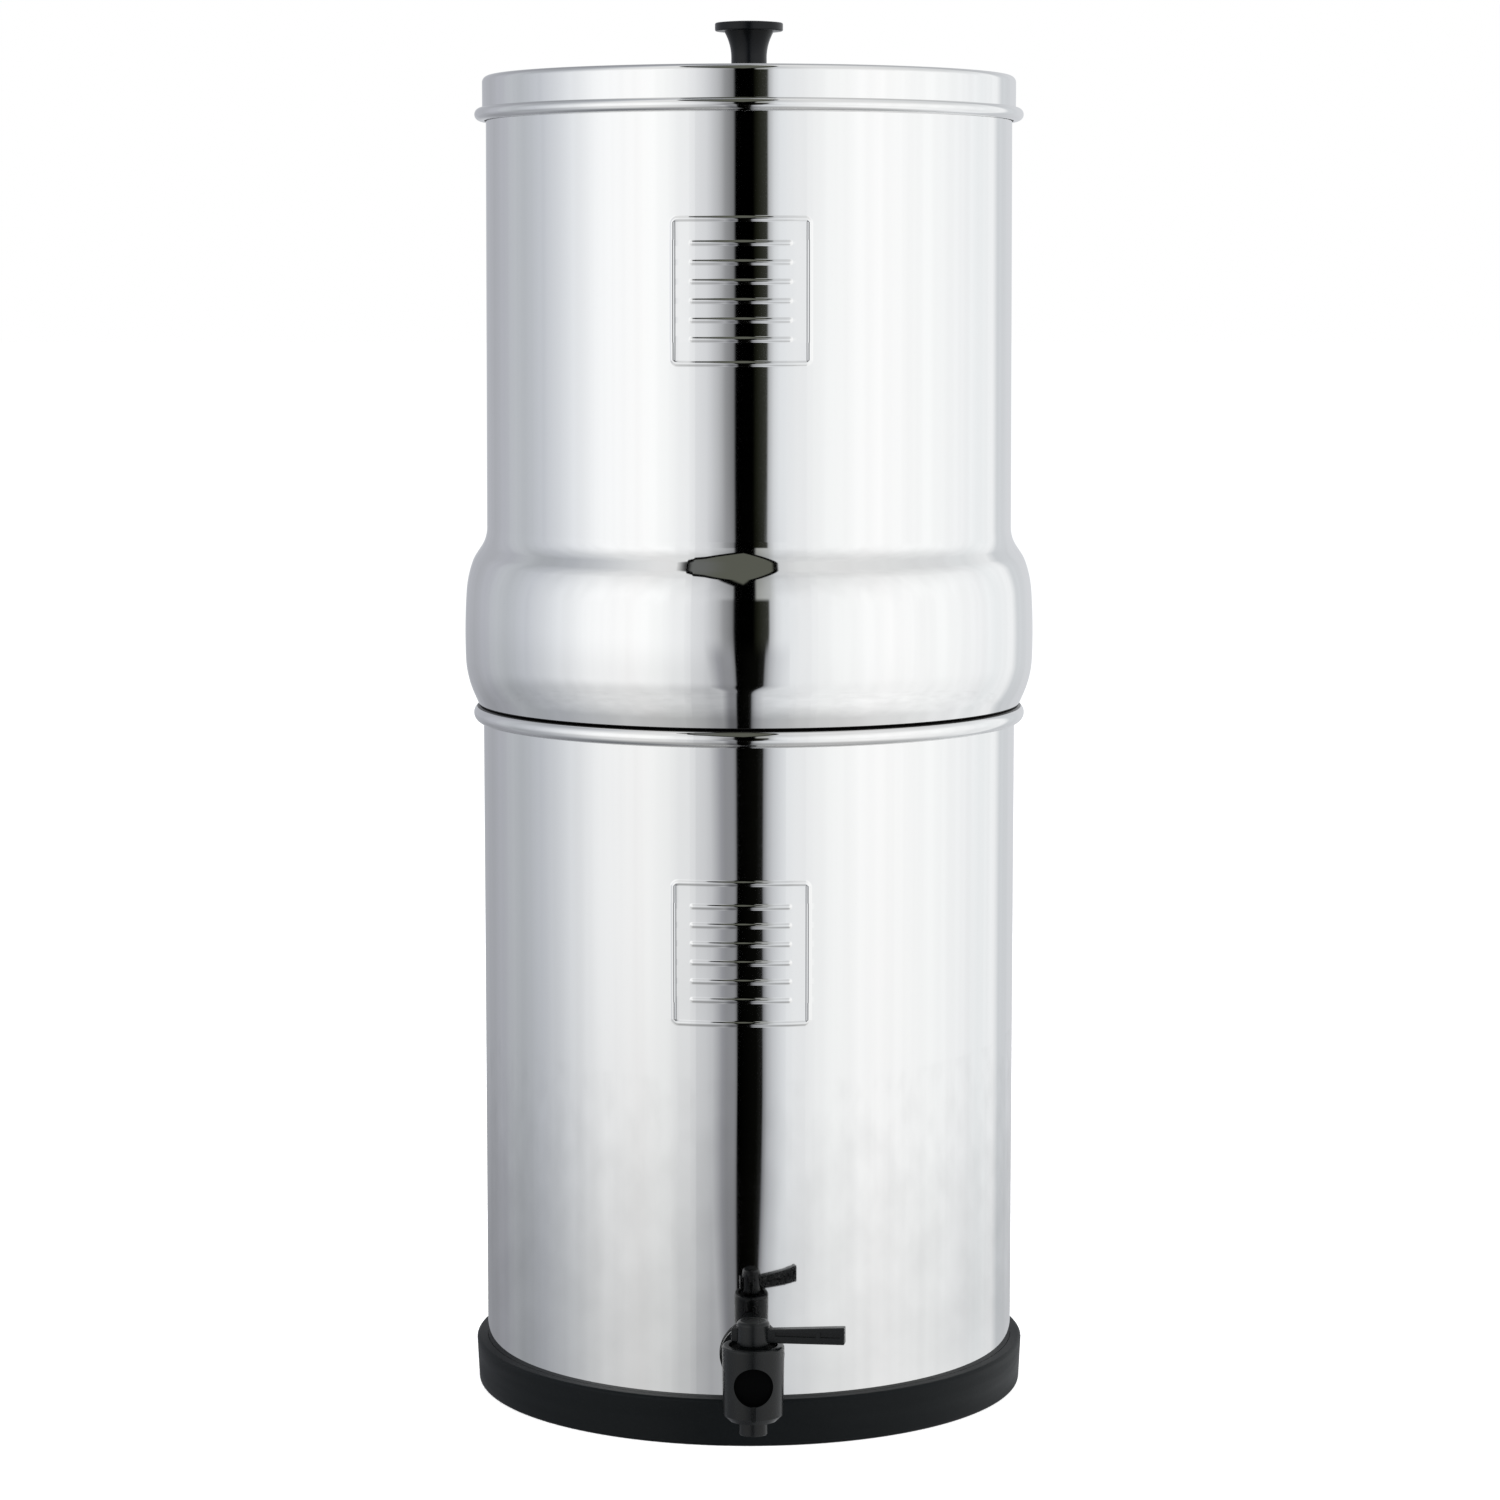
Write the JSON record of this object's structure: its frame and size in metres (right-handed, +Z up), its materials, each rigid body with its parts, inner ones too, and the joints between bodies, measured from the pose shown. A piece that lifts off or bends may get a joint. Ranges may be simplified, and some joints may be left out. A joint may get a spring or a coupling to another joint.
{
  "type": "gravity water filter",
  "caption": "Two stacked polished steel vessels with a lifting lid, ceramic filter candles between them, a rubber base ring and a quarter-turn lever tap.",
  "frame": {"origin": "centre of the base ring's lower face, on the vessels' common axis", "axes": "+Z up along the vessels' axis; the tap stands on the -Y side and its closed lever points towards +X"},
  "size_m": [0.2282, 0.2738, 0.5484],
  "materials": {
    "steel_lower": "polished",
    "steel_upper": "polished",
    "steel_lid": "polished",
    "rubber_ring": "satin",
    "knob_plastic": "satin",
    "tap_plastic": "satin",
    "seal_rubber": "matte",
    "nut_plastic": "satin",
    "mount_plastic": "satin",
    "candle_ceramic": "matte",
    "candle_carbon": "matte",
    "fastener_steel": "satin"
  },
  "bodies": {
    "vessel_base": {"lower_chamber": "steel_lower", "base_ring": "rubber_ring", "tap_body": "tap_plastic", "tap_bonnet": "tap_plastic", "tap_outer_washer": "seal_rubber", "tap_inner_washer": "seal_rubber", "tap_lock_nut": "nut_plastic"},
    "tap_valve": {"tap_plug": "tap_plastic", "tap_plug_seals": "seal_rubber", "tap_lever": "tap_plastic"},
    "upper_vessel": {"upper_chamber": "steel_upper", "filter_washers": "seal_rubber", "filter_wing_nuts": "nut_plastic", "filter_mount_1": "mount_plastic", "filter_mount_2": "mount_plastic", "filter_mount_3": "mount_plastic", "filter_mount_4": "mount_plastic", "filter_shell_1": "candle_ceramic", "filter_shell_2": "candle_ceramic", "filter_shell_3": "candle_ceramic", "filter_shell_4": "candle_ceramic", "filter_core_1": "candle_carbon", "filter_core_2": "candle_carbon", "filter_core_3": "candle_carbon", "filter_core_4": "candle_carbon"},
    "lid_cover": {"lid": "steel_lid", "lid_knob": "knob_plastic", "lid_knob_washer": "fastener_steel", "lid_knob_screw": "fastener_steel"}
  },
  "joints": [
    {"name": "upper_lift", "type": "slide", "parent": "vessel_base", "child": "upper_vessel", "axis": [0, 0, 1], "range_m": [0, 0.1]},
    {"name": "lid_lift", "type": "slide", "parent": "upper_vessel", "child": "lid_cover", "axis": [0, 0, 1], "range_m": [0, 0.06]},
    {"name": "tap_turn", "type": "hinge", "parent": "vessel_base", "child": "tap_valve", "pos_m": [0, -0.148, 0.0362], "axis": [0, 0, 1], "range_deg": [-90, 0]}
  ]
}
